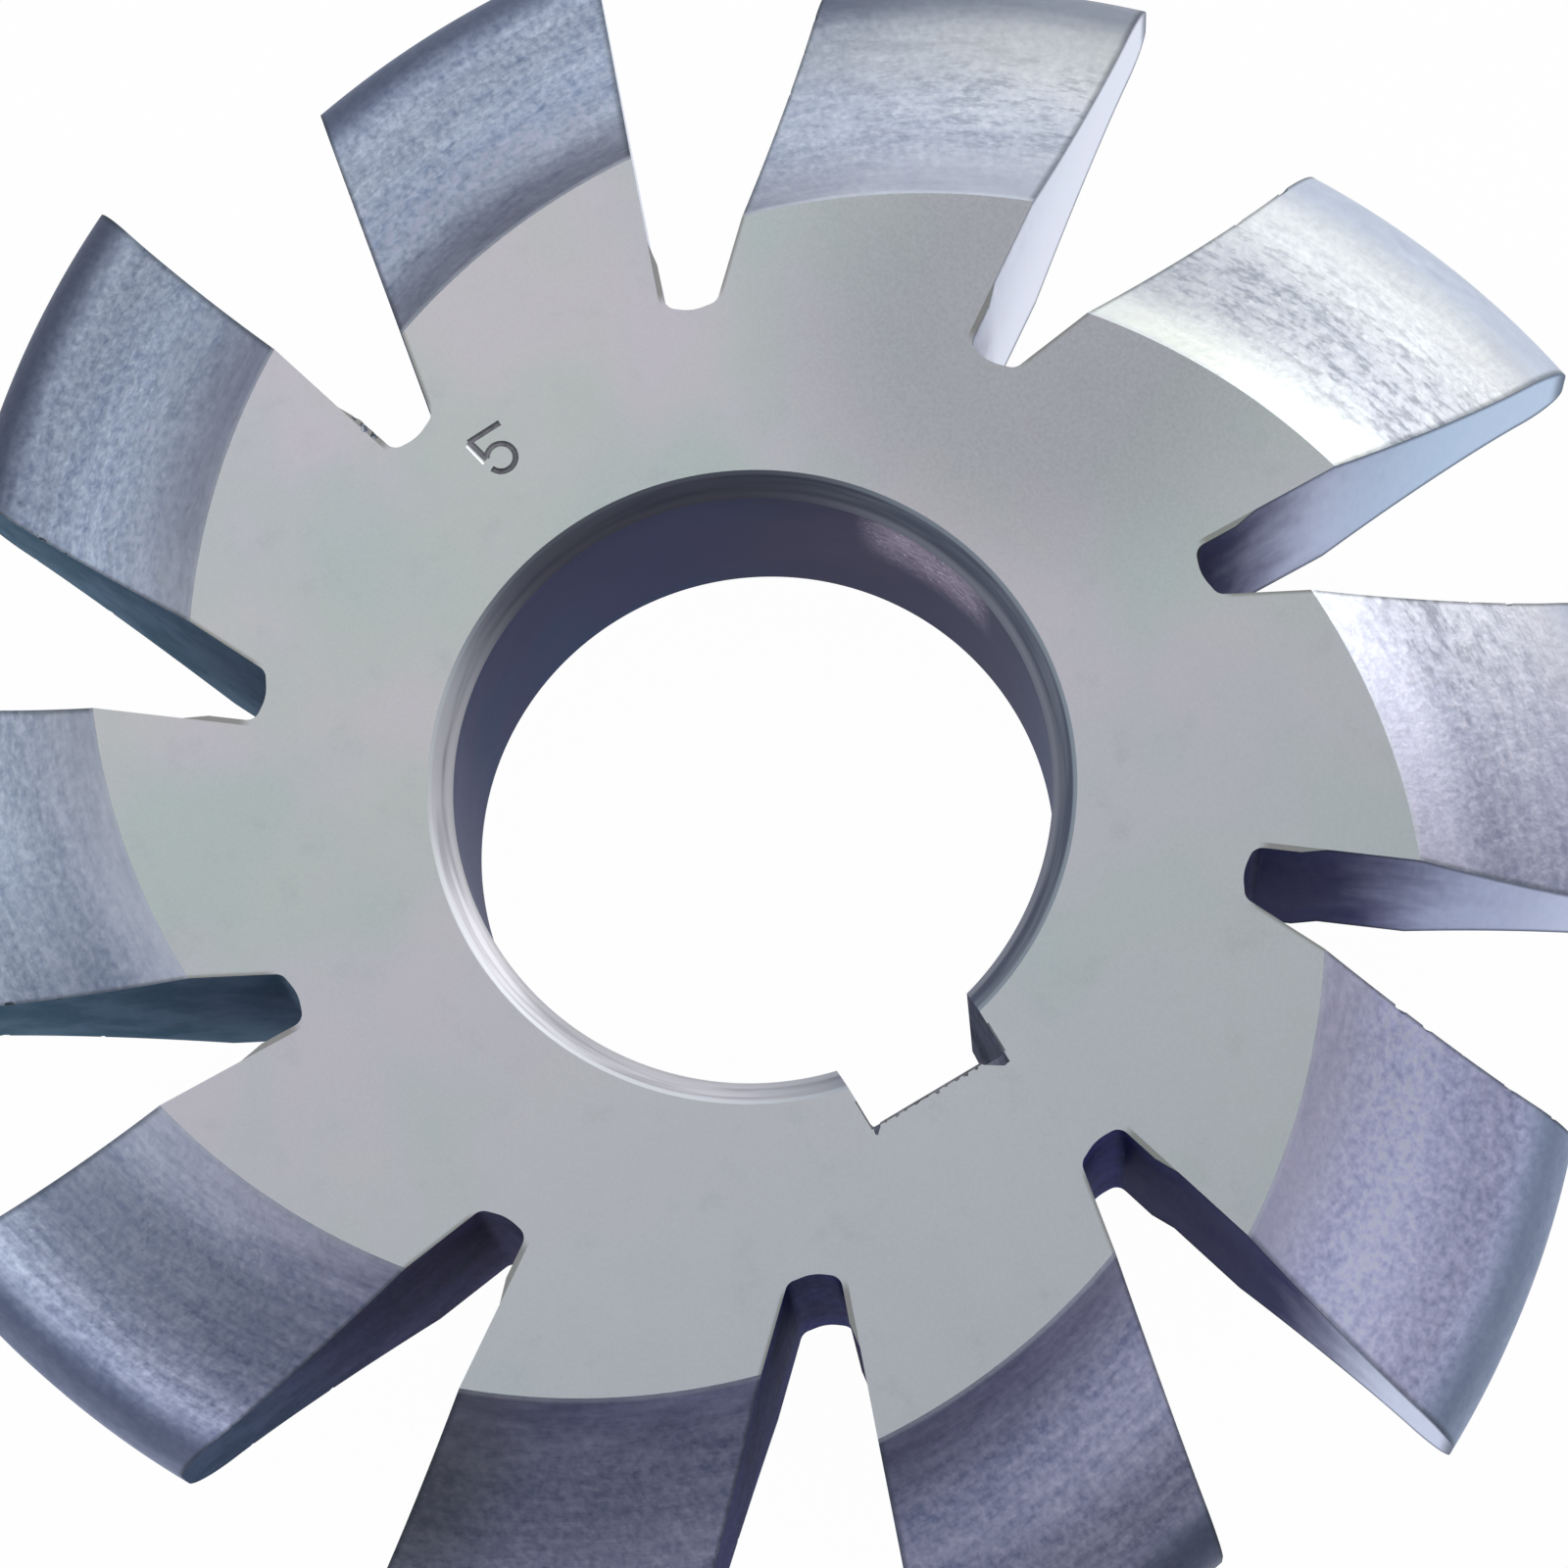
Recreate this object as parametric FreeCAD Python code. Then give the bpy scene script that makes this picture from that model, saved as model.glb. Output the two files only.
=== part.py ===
"""Form-relieved disc cutter for milling involute gear teeth, one tooth space at a time.

The cutter is one ground piece of tool steel. Its axis is Z, and the origin is the centre of the
bore on the mid-width plane, which is also the centre plane of the tooth form. The keyway opens
toward +X. Seen from +Z the cutter turns clockwise, so each flat cutting face is the clockwise end
of its tooth, and the tooth falls away behind it toward the heel.
"""
import FreeCAD, Part
import math
import os

# Body
outside_diameter = 101.0
body_width = 18.5
tooth_count = 10

# Tooth form: the space between two teeth of the gear that this cutter makes
gear_module = 7.0
gear_pressure_angle = 20.0
gear_teeth = 26
gear_dedendum = 1.2 * gear_module
tip_corner_radius = 2.6

# Relief: how far the whole form sinks toward the axis from one cutting face to the next
relief_drop = 5.7
relief_margin_angle = 2.0

# Gullets between the teeth
heel_wall_angle = 26.5
gullet_floor_width = 2.8
gullet_floor_bulge = 0.45
gullet_floor_clearance = 3.5
grinding_step = 0.3
grinding_step_start = 2.5
grinding_step_run = 1.4

# Bore and keyway
bore_diameter = 32.0
mouth_chamfer_depth = 0.9
mouth_chamfer_width = 1.3
keyway_width = 8.0
keyway_across = 35.2
keyway_corner_radius = 0.5

# Turn from the keyway's centre line to the first cutting face, counter-clockwise from +Z
first_face_angle = 16.0

# Cutting tools run this far past the faces that they cut
overrun = 2.0

# Fineness: spans along one flank curve, and steps of the search for its end
flank_spans = 7
search_halvings = 60
same_place = 1e-6

tip_radius = outside_diameter / 2
half_width = body_width / 2
tooth_pitch_angle = 360.0 / tooth_count
axis = FreeCAD.Vector(0, 0, 1)
origin = FreeCAD.Vector(0, 0, 0)

# Radii of the gear, and the half angle of its tooth space at the base circle
pitch_radius = gear_module * gear_teeth / 2
root_radius = pitch_radius - gear_dedendum
base_radius = pitch_radius * math.cos(math.radians(gear_pressure_angle))
flank_start_radius = max(base_radius, root_radius)

# The relief swings each tooth's form about a centre beside the axis, this far from it
relief_offset = relief_drop / math.sin(math.radians(tooth_pitch_angle))
relief_centre = FreeCAD.Vector(0, -relief_offset, 0)


def involute(angle):
    """The involute function of an angle in radians."""
    return math.tan(angle) - angle


def space_half_angle(gear_radius):
    """Half the angle of the gear's tooth space at one radius of the gear."""
    at_pitch = math.pi / (2 * gear_teeth) - involute(math.radians(gear_pressure_angle))
    return at_pitch + involute(math.acos(min(1.0, base_radius / gear_radius)))


def form_point(gear_radius):
    """A point of the tooth form on the cutting face: X is the cutter's radius, Z is its axis."""
    half_angle = space_half_angle(gear_radius)
    depth = gear_radius * math.cos(half_angle) - root_radius
    return FreeCAD.Vector(tip_radius - depth, 0, gear_radius * math.sin(half_angle))


def flank_end_radius():
    """The gear radius at which the form has become as wide as the cutter's body."""
    low = flank_start_radius
    high = 2 * pitch_radius
    for _ in range(search_halvings):
        middle = (low + high) / 2
        if form_point(middle).z < half_width:
            low = middle
        else:
            high = middle
    return (low + high) / 2


def rounded_corner(before, corner, after, radius):
    """The start, middle and end of an arc that rounds the corner of two straight lines."""
    to_before = (before - corner).normalize()
    to_after = (after - corner).normalize()
    half_corner = to_before.getAngle(to_after) / 2
    bisector = (to_before + to_after).normalize()
    setback = radius / math.tan(half_corner)
    middle = corner + bisector * (radius / math.sin(half_corner) - radius)
    return corner + to_before * setback, middle, corner + to_after * setback


def swung(point):
    """A point of the cutting face, turned into the plane through the relief centre and the axis X."""
    return FreeCAD.Vector(math.hypot(point.x, relief_offset), 0, point.z)


def upper_form_edges():
    """The edges of the upper half of the form, from past the side face to the middle of the tip."""
    end_radius = flank_end_radius()
    step = (end_radius - flank_start_radius) / flank_spans
    flank = [swung(form_point(end_radius - step * i)) for i in range(flank_spans + 1)]
    run_out = flank[0] + (flank[0] - flank[1]).normalize() * overrun

    flank_foot = flank[-1]
    half_angle = space_half_angle(flank_start_radius)
    tip_corner = swung(FreeCAD.Vector(tip_radius, 0, root_radius * math.tan(half_angle)))
    tip_middle = swung(FreeCAD.Vector(tip_radius, 0, 0))
    arc_start, arc_middle, arc_end = rounded_corner(flank_foot, tip_corner, tip_middle, tip_corner_radius)

    curve = Part.BSplineCurve()
    curve.interpolate(flank)
    return [
        Part.makeLine(run_out, flank[0]),
        curve.toShape(),
        Part.makeLine(flank_foot, arc_start),
        Part.Arc(arc_start, arc_middle, arc_end).toShape(),
        Part.makeLine(arc_end, tip_middle),
    ]


def relief_section():
    """A closed outline of everything outside the tooth form, on both sides and over the tip."""
    upper = upper_form_edges()
    lower = [edge.mirror(origin, axis) for edge in upper]
    run_out = upper[0].firstVertex().Point
    outer = FreeCAD.Vector(tip_radius + relief_offset + overrun, 0, run_out.z)
    corners = [
        run_out,
        outer,
        FreeCAD.Vector(outer.x, 0, -outer.z),
        FreeCAD.Vector(run_out.x, 0, -run_out.z),
    ]
    box = [Part.makeLine(a, b) for a, b in zip(corners, corners[1:])]
    return Part.Face(Part.Wire(Part.__sortEdges__(upper + lower + box)))


def angle_from_relief_centre(point):
    """The direction from the relief centre to a point, in degrees from the cutting face's."""
    return math.degrees(math.atan2(point.y + relief_offset, point.x))


def relief_tool():
    """The path of the form tool that backs off one tooth, from before its cutting face to its heel.

    The form tool swings about the relief centre. Seen from the cutter's axis, the form then keeps
    its shape and sinks evenly toward the axis, as on a backing-off lathe.
    """
    tip = FreeCAD.Vector(tip_radius, 0, 0)
    next_tip = FreeCAD.Rotation(axis, tooth_pitch_angle).multVec(tip)
    start = angle_from_relief_centre(tip) - relief_margin_angle
    end = angle_from_relief_centre(next_tip) - relief_margin_angle
    section = relief_section()
    section.rotate(origin, axis, start)
    section.translate(relief_centre)
    return section.revolve(relief_centre, axis, end - start)


def lowest_form_radius():
    """The cutter's radius where the form would leave the side face after a whole tooth pitch."""
    return form_point(flank_end_radius()).x - relief_drop


def gullet_floor_points():
    """The near corner, middle and far corner of the floor of the gullet before the first face."""
    floor_radius = lowest_form_radius() - gullet_floor_clearance
    corner_radius = floor_radius + gullet_floor_bulge
    far_side = grinding_step + gullet_floor_width
    return [
        FreeCAD.Vector(math.sqrt(corner_radius ** 2 - grinding_step ** 2), -grinding_step, 0),
        FreeCAD.Vector(floor_radius, -(grinding_step + far_side) / 2, 0),
        FreeCAD.Vector(math.sqrt(corner_radius ** 2 - far_side ** 2), -far_side, 0),
    ]


def gullet_tool():
    """The chip space in front of one cutting face, cut through the full width of the body."""
    near_corner, floor_middle, far_corner = gullet_floor_points()
    step_foot = FreeCAD.Vector(near_corner.x + grinding_step_start, -grinding_step, 0)
    step_top = FreeCAD.Vector(step_foot.x + grinding_step_run, 0, 0)
    outer = tip_radius + overrun
    face_end = FreeCAD.Vector(outer, 0, 0)
    heel_rise = (outer - far_corner.x) * math.tan(math.radians(heel_wall_angle))
    heel_end = FreeCAD.Vector(outer, far_corner.y - heel_rise, 0)

    outline = Part.Wire([
        Part.makeLine(face_end, step_top),
        Part.makeLine(step_top, step_foot),
        Part.makeLine(step_foot, near_corner),
        Part.Arc(near_corner, floor_middle, far_corner).toShape(),
        Part.makeLine(far_corner, heel_end),
        Part.makeLine(heel_end, face_end),
    ])
    tool = Part.Face(outline).extrude(axis * (body_width + 2 * overrun))
    tool.translate(axis * -(half_width + overrun))
    return tool


def around(tool):
    """Copies of a tool, one for every tooth."""
    copies = []
    for i in range(tooth_count):
        copy = tool.copy()
        copy.rotate(origin, axis, first_face_angle + tooth_pitch_angle * i)
        copies.append(copy)
    return copies


def bore_tool():
    """The ground bore with the wider mouth at each end."""
    bore_radius = bore_diameter / 2
    tool = Part.makeCylinder(bore_radius, body_width + 2 * overrun, -axis * (half_width + overrun))
    mouth_radius = bore_radius + mouth_chamfer_width
    mouth_base = axis * (half_width - mouth_chamfer_depth)
    mouth = Part.makeCone(bore_radius, mouth_radius, mouth_chamfer_depth, mouth_base)
    return [tool, mouth, mouth.mirror(origin, axis)]


def keyway_tool():
    """The keyway for the arbor's driving key, with small rounds in its two floor corners."""
    reach = keyway_across - bore_diameter / 2
    corner = FreeCAD.Vector(0, -keyway_width / 2, -(half_width + overrun))
    slot = Part.makeBox(reach, keyway_width, body_width + 2 * overrun, corner)
    floor_edges = [
        edge for edge in slot.Edges
        if abs(edge.CenterOfMass.x - reach) < same_place and abs(edge.CenterOfMass.z) < same_place
    ]
    return slot.makeFillet(keyway_corner_radius, floor_edges)


def milling_cutter():
    """The finished cutter: a plain disc, bored, keyed, gashed and then backed off."""
    blank = Part.makeCylinder(tip_radius, body_width, -axis * half_width)
    bored = blank.cut(bore_tool() + [keyway_tool()])
    gashed = bored.cut(around(gullet_tool()))
    backed_off = gashed.cut(around(relief_tool()))
    return backed_off.removeSplitter()


cutter = milling_cutter()
os.makedirs("parts", exist_ok=True)
cutter.exportStep("parts/milling_cutter.step")
print("milling_cutter: valid", cutter.isValid(), "solids", len(cutter.Solids), "volume", round(cutter.Volume, 1))
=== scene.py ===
# %% [markdown]
# # A form-relieved disc cutter
# The object is one ring of ground tool steel with ten backed-off teeth. The imported model gives its
# true size and place. Everything here is drawn in that same frame, in metres, with the bore along Z
# and the keyway toward +X. The first step loads the imported model.

# %% Load the frame
import bpy
import bmesh
import math
import random
from mathutils import Matrix, Vector


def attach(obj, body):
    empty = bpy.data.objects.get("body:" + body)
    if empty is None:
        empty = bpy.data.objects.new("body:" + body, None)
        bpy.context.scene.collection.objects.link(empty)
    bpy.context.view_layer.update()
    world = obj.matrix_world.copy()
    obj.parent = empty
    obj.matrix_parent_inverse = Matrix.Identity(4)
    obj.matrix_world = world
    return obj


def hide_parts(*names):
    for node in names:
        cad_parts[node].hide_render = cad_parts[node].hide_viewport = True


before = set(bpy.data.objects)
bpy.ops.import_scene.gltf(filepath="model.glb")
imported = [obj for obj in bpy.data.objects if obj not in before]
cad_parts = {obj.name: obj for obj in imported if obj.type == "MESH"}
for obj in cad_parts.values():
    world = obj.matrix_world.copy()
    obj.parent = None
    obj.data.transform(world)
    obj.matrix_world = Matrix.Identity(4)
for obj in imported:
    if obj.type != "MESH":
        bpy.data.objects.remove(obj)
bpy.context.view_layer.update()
MM = 0.001

# %% [markdown]
# ## The camera
# The picture looks down on the cutter from about 13 degrees off its axis, through a long lens, and
# so close that the tips of the teeth leave the frame. A camera can be placed by an eye point, an aim
# point and a direction that is up in the picture. Three crossed vectors then give its rotation, which
# is clearer here than three angles, because the keyway points to the lower right of the picture.

# %% Camera
CAMERA_EYE = Vector((74.885, -24.523, 341.279)) * MM
CAMERA_AIM = Vector((-1.135, 2.187, 0.0)) * MM
PICTURE_UP = Vector((-0.8325, 0.5062, 0.2251))
LENS_MM = 147.44


def facing(eye, aim, up):
    """A matrix that stands at the eye and looks along its own -Z at the aim point."""
    back = (eye - aim).normalized()
    right = up.cross(back).normalized()
    axes = Matrix((right, back.cross(right), back)).transposed()
    return Matrix.Translation(eye) @ axes.to_4x4()


camera_data = bpy.data.cameras.new("picture_camera")
camera_data.lens = LENS_MM
camera_data.clip_start = 0.01
camera_data.clip_end = 20.0
camera = bpy.data.objects.new("picture_camera", camera_data)
bpy.context.scene.collection.objects.link(camera)
camera.matrix_world = facing(CAMERA_EYE, CAMERA_AIM, PICTURE_UP)
bpy.context.scene.camera = camera
PICTURE_RIGHT = camera.matrix_world.to_3x3().col[0].copy()
print("camera distance in mm:", round((CAMERA_EYE - CAMERA_AIM).length / MM, 1))

# %% [markdown]
# ## Shader sums written as Python
# A procedural finish is mostly arithmetic on values that change over the surface. Node after node of
# arithmetic is hard to read, so one small class wraps an output socket and turns each Python operator
# into its Math node. Every other kind of node comes from one method, which takes its type, its
# settings and what its sockets hold.

# %% Socket arithmetic
MIX_FACTOR, MIX_A, MIX_B, MIX_RESULT = 0, 6, 7, 2


class Wire:
    """One output socket of a node tree, or a bare tree. Arithmetic on it adds Math nodes."""

    def __init__(self, tree, socket=None):
        self.tree = tree
        self.socket = socket

    def node(self, kind, settings=None, inputs=None, out=0):
        """A new node. Its settings come first, then the values or links of its sockets."""
        made = self.tree.nodes.new(kind)
        for name, value in (settings or {}).items():
            if name == "greys":
                ramp = made.color_ramp
                while len(ramp.elements) < len(value):
                    ramp.elements.new(1.0)
                for element, (place, grey) in zip(ramp.elements, value):
                    element.position = place
                    element.color = (grey, grey, grey, 1.0)
            elif name == "interpolation":
                made.color_ramp.interpolation = value
            else:
                setattr(made, name, value)
        for name, value in (inputs or {}).items():
            if isinstance(value, Wire):
                self.tree.links.new(value.socket, made.inputs[name])
            else:
                made.inputs[name].default_value = value
        return Wire(self.tree, made.outputs[out])

    def maths(self, operation, *values):
        """A Math node of any operation on this value and the others."""
        return self.node("ShaderNodeMath", {"operation": operation}, dict(enumerate((self,) + values)))

    def __add__(self, other):
        return self.maths("ADD", other)

    def __sub__(self, other):
        return self.maths("SUBTRACT", other)

    def __mul__(self, other):
        return self.maths("MULTIPLY", other)

    def __truediv__(self, other):
        return self.maths("DIVIDE", other)

    def __rsub__(self, other):
        return self.node("ShaderNodeMath", {"operation": "SUBTRACT"}, {0: other, 1: self})

    __radd__ = __add__
    __rmul__ = __mul__

    def ramp_up(self, low, high):
        """0 below the low value, 1 above the high value, and smooth between them."""
        inputs = {"Value": self, "From Min": low, "From Max": high}
        return self.node("ShaderNodeMapRange", {"interpolation_type": "SMOOTHSTEP"}, inputs)

    def mix(self, first, second):
        """A colour that goes from the first to the second as this value goes from 0 to 1."""
        inputs = {MIX_FACTOR: self, MIX_A: first, MIX_B: second}
        return self.node("ShaderNodeMix", {"data_type": "RGBA"}, inputs, MIX_RESULT)


def colour(red, green, blue):
    """A colour as it reads on a screen, 0 to 255, turned into the light values of a shader."""
    def light(level):
        share = level / 255
        return share / 12.92 if share < 0.04045 else ((share + 0.055) / 1.055) ** 2.4
    return light(red), light(green), light(blue), 1.0


print("a screen grey of 175 is a light value of", round(colour(175, 175, 175)[0], 3))

# %% [markdown]
# ## Floor, room and lamps
# The picture has a pure white ground and no shadow to speak of, so the floor is plain and pale. What
# the camera and the steel see of it is mostly an even white glow, and a share of honest floor keeps
# the soft shadow. Brightness on polished teeth comes from what they mirror. A broad lamp on the right
# of the picture makes those flanks nearly white, weaker bluish ones serve the left and the top, and
# the bottom has only a faint one, which is why the lower teeth are dark.
# Much of the brightness and darkness of the teeth, faces and mouth is also painted into their colours
# below, as painted highlights and painted shade.

# %% Floor
FLOOR_HEIGHT = -9.25 * MM
FLOOR_GLOW = 0.985


def floor_finish():
    """A pale floor that camera, mirror and glass rays see as nearly even white."""
    material = bpy.data.materials.new("pale_floor")
    material.use_nodes = True
    tree = material.node_tree
    tree.nodes.clear()
    start = Wire(tree)
    path = {name: start.node("ShaderNodeLightPath", out=name)
            for name in ("Is Camera Ray", "Is Glossy Ray", "Is Transmission Ray")}
    seen = path["Is Camera Ray"].maths("MAXIMUM", path["Is Glossy Ray"])
    seen = seen.maths("MAXIMUM", path["Is Transmission Ray"]) * FLOOR_GLOW
    plain = start.node("ShaderNodeBsdfDiffuse", inputs={"Color": (0.82, 0.82, 0.82, 1.0)})
    glow = start.node("ShaderNodeEmission", inputs={"Color": (1.0, 1.0, 1.0, 1.0), "Strength": 1.0})
    both = start.node("ShaderNodeMixShader", inputs={0: seen, 1: plain, 2: glow})
    output = tree.nodes.new("ShaderNodeOutputMaterial")
    tree.links.new(both.socket, output.inputs["Surface"])
    return material


floor_mesh = bpy.data.meshes.new("floor")
bm = bmesh.new()
bmesh.ops.create_grid(bm, x_segments=1, y_segments=1, size=4.0)
bmesh.ops.translate(bm, verts=bm.verts, vec=(0.0, 0.0, FLOOR_HEIGHT))
bm.to_mesh(floor_mesh)
bm.free()
floor = bpy.data.objects.new("floor", floor_mesh)
floor.data.materials.append(floor_finish())
bpy.context.scene.collection.objects.link(floor)
print("floor at", round(FLOOR_HEIGHT / MM, 2), "mm")

# %% Room light and lamps
world = bpy.data.worlds.new("room")
world.use_nodes = True
bpy.context.scene.world = world
world.node_tree.nodes["Background"].inputs["Color"].default_value = (0.80, 0.86, 1.0, 1.0)
world.node_tree.nodes["Background"].inputs["Strength"].default_value = 0.15

LAMPS = {
    "overhead": {"turn": 90, "lean": 8, "size": 0.36, "glow": 1.05, "tint": (1.0, 1.0, 0.98)},
    "upper_right": {"turn": 50, "lean": 62, "size": 0.42, "glow": 1.8, "tint": (1.0, 1.0, 0.98)},
    "low_right": {"turn": 44, "lean": 77, "size": 0.24, "glow": 2.2, "tint": (1.0, 1.0, 0.98)},
    "right": {"turn": 335, "lean": 50, "size": 0.40, "glow": 0.75, "tint": (0.98, 0.98, 1.0)},
    "top": {"turn": 100, "lean": 38, "size": 0.42, "glow": 1.25, "tint": (0.94, 0.97, 1.0)},
    "top_low": {"turn": 88, "lean": 77, "size": 0.26, "glow": 1.3, "tint": (0.98, 0.98, 1.0)},
    "left": {"turn": 162, "lean": 36, "size": 0.42, "glow": 1.6, "tint": (0.90, 0.95, 1.0)},
    "low_left": {"turn": 200, "lean": 66, "size": 0.36, "glow": 0.6, "tint": (0.94, 0.96, 1.0)},
    "bottom": {"turn": 296, "lean": 38, "size": 0.36, "glow": 0.3, "tint": (0.94, 0.94, 1.0)},
}
LAMP_DISTANCE = 0.60


def lamp_direction(turn, lean):
    """The way to a lamp: turned from the picture's right toward its top, and leaned off the axis."""
    right = Vector((PICTURE_RIGHT.x, PICTURE_RIGHT.y, 0.0)).normalized()
    top = Vector((-right.y, right.x, 0.0))
    flat = right * math.cos(math.radians(turn)) + top * math.sin(math.radians(turn))
    return flat * math.sin(math.radians(lean)) + Vector((0.0, 0.0, math.cos(math.radians(lean))))


for name, lamp in LAMPS.items():
    data = bpy.data.lights.new(name, "AREA")
    data.shape = "DISK"
    data.size = lamp["size"]
    data.energy = lamp["glow"] * math.pi * math.pi * (lamp["size"] / 2) ** 2
    data.color = lamp["tint"]
    light = bpy.data.objects.new(name, data)
    bpy.context.scene.collection.objects.link(light)
    place = lamp_direction(lamp["turn"], lamp["lean"]) * LAMP_DISTANCE
    light.matrix_world = facing(place, Vector((0.0, 0.0, 0.0)), Vector((0.0, 0.0, 1.0)))
    print("lamp", name, [round(c, 3) for c in place])

bpy.context.scene.view_settings.view_transform = "Standard"

# %% [markdown]
# ## Sizes of the cutter
# The same sizes as in the solid model, in millimetres. The cutter makes the space between two teeth
# of a gear, so its form is an involute, worked out from the gear's module, pressure angle and number
# of teeth. Behind each cutting face the form swings about a centre beside the axis, so it sinks
# evenly toward the axis. That is the relief that lets the flanks clear the work.

# %% Sizes
TEETH = 10
PITCH = 2 * math.pi / TEETH
FIRST_FACE = math.radians(16.0)
TIP_RADIUS = 50.5
HALF_WIDTH = 9.25
BORE_RADIUS = 16.0
MOUTH_RADIUS = 17.3
MODULE = 7.0
PRESSURE_ANGLE = math.radians(20.0)
GEAR_TEETH = 26
GEAR_DEDENDUM = 1.2 * MODULE
ROOT_RADIUS = MODULE * GEAR_TEETH / 2 - GEAR_DEDENDUM
BASE_RADIUS = MODULE * GEAR_TEETH / 2 * math.cos(PRESSURE_ANGLE)
FLANK_FOOT = max(BASE_RADIUS, ROOT_RADIUS)
TIP_ROUND = 2.6
RELIEF_DROP = 5.7
RELIEF_OFFSET = RELIEF_DROP / math.sin(PITCH)
PAST = 2.0
SEARCH_HALVINGS = 60


def involute(angle):
    """The involute function of an angle in radians."""
    return math.tan(angle) - angle


def space_half_angle(gear_radius):
    """Half the angle of the gear's tooth space at one radius of the gear."""
    at_pitch = math.pi / (2 * GEAR_TEETH) - involute(PRESSURE_ANGLE)
    return at_pitch + involute(math.acos(min(1.0, BASE_RADIUS / gear_radius)))


def form_point(gear_radius):
    """A point of the form on the cutting face: distance from the cutter's axis, and height."""
    half = space_half_angle(gear_radius)
    depth = gear_radius * math.cos(half) - ROOT_RADIUS
    return TIP_RADIUS - depth, gear_radius * math.sin(half)


low, high = FLANK_FOOT, MODULE * GEAR_TEETH
for _ in range(SEARCH_HALVINGS):
    middle = (low + high) / 2
    low, high = (middle, high) if form_point(middle)[1] < HALF_WIDTH else (low, middle)
FLANK_END = low
FLANK_START_RADIUS = form_point(FLANK_END)[0]
print("flank starts", round(FLANK_START_RADIUS, 2), "mm from the axis; relief centre offset",
      round(RELIEF_OFFSET, 2), "mm")

# %% Sizes of the gullets
FLOOR_CLEARANCE = 3.5
FLOOR_BULGE = 0.45
FLOOR_CORNER = FLANK_START_RADIUS - RELIEF_DROP - FLOOR_CLEARANCE + FLOOR_BULGE
GULLET_STEP = 0.3
GULLET_WIDTH = 2.8
GULLET_FAR = GULLET_STEP + GULLET_WIDTH
HEEL_ANGLE = math.radians(26.5)
HEEL_FOOT = math.sqrt(FLOOR_CORNER ** 2 - GULLET_FAR ** 2)
print("the heel wall starts", round(HEEL_FOOT, 2), "mm out, along the cutting face before it")

# %% Outline of the form
FLANK_POINTS = 22
ROUND_POINTS = 10


def rounded_corner(before, corner, after, radius, steps):
    """Points of the arc that rounds the corner between two straight lines."""
    to_before = (before - corner).normalized()
    to_after = (after - corner).normalized()
    half_corner = to_before.angle(to_after) / 2
    centre = corner + (to_before + to_after).normalized() * (radius / math.sin(half_corner))
    setback = radius / math.tan(half_corner)
    begin = (corner + to_before * setback - centre).normalized()
    finish = (corner + to_after * setback - centre).normalized()
    return [centre + begin.slerp(finish, i / steps) * radius for i in range(steps + 1)]


def half_form():
    """The upper half of the form as (radius, height), from past the side face to the tip."""
    flank = [Vector(form_point(FLANK_END + (FLANK_FOOT - FLANK_END) * i / FLANK_POINTS))
             for i in range(FLANK_POINTS + 1)]
    run_out = flank[0] + (flank[0] - flank[1]).normalized() * PAST
    corner = Vector((TIP_RADIUS, ROOT_RADIUS * math.tan(space_half_angle(FLANK_FOOT))))
    arc = rounded_corner(flank[-1], corner, Vector((TIP_RADIUS, 0.0)), TIP_ROUND, ROUND_POINTS)
    return [tuple(p) for p in [run_out] + flank + arc]


FORM = half_form()


def form_height(lane):
    """Height of the flank over the middle plane, by its distance from the axis on the cutting face."""
    for (near, high), (far, low) in zip(FORM, FORM[1:]):
        if near <= lane <= far:
            return min(high + (low - high) * (lane - near) / (far - near), HALF_WIDTH)
    return 0.0


print("form height at 40, 45 and 50 mm:", [round(form_height(r), 2) for r in (40, 45, 50)])

# %% [markdown]
# ## Finishes
# One bar of steel shows a finish for each tool that last touched it: the side faces from a surface
# grinder, the relieved flanks, the ground cutting faces, the dark milled gullets, the bore, its turned
# mouth, the broached keyway and the struck number. Each finish gets its own material, and each cutting
# tool below carries the material that it leaves behind, so no face has to be picked by hand.

# %% Start of every finish
def finish_of(name, metallic, roughness, specular, edge_tint=(1.0, 1.0, 1.0, 1.0)):
    """A new material with a Principled shader, and a bare wire of its tree to build on."""
    material = bpy.data.materials.new(name)
    material.use_nodes = True
    shader = material.node_tree.nodes["Principled BSDF"]
    shader.inputs["Metallic"].default_value = metallic
    shader.inputs["Roughness"].default_value = roughness
    shader.inputs["Specular IOR Level"].default_value = specular
    shader.inputs["Specular Tint"].default_value = edge_tint
    return material, shader, Wire(material.node_tree)


def feed(shader, **values):
    """Links wires into the shader's sockets, with underscores for the spaces of their names."""
    for name, wire in values.items():
        wire.tree.links.new(wire.socket, shader.inputs[name.replace("_", " ")])


def noise(where, scale, detail=3.0, roughness=0.55, stretch=(1.0, 1.0, 1.0), seed=0.0):
    """Fractal noise around 0.5, with features about 1 / scale millimetres across."""
    moved = where.node("ShaderNodeMapping", inputs={
        "Vector": where, "Location": (seed, seed * 0.7, -seed), "Scale": stretch})
    inputs = {"Vector": moved, "Scale": scale, "Detail": detail, "Roughness": roughness}
    return where.node("ShaderNodeTexNoise", inputs=inputs)


def bumped(height, distance, strength=1.0):
    """A Bump node of this height, with its distance in metres."""
    return height.node("ShaderNodeBump", inputs={
        "Height": height, "Distance": distance, "Strength": strength})
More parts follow.
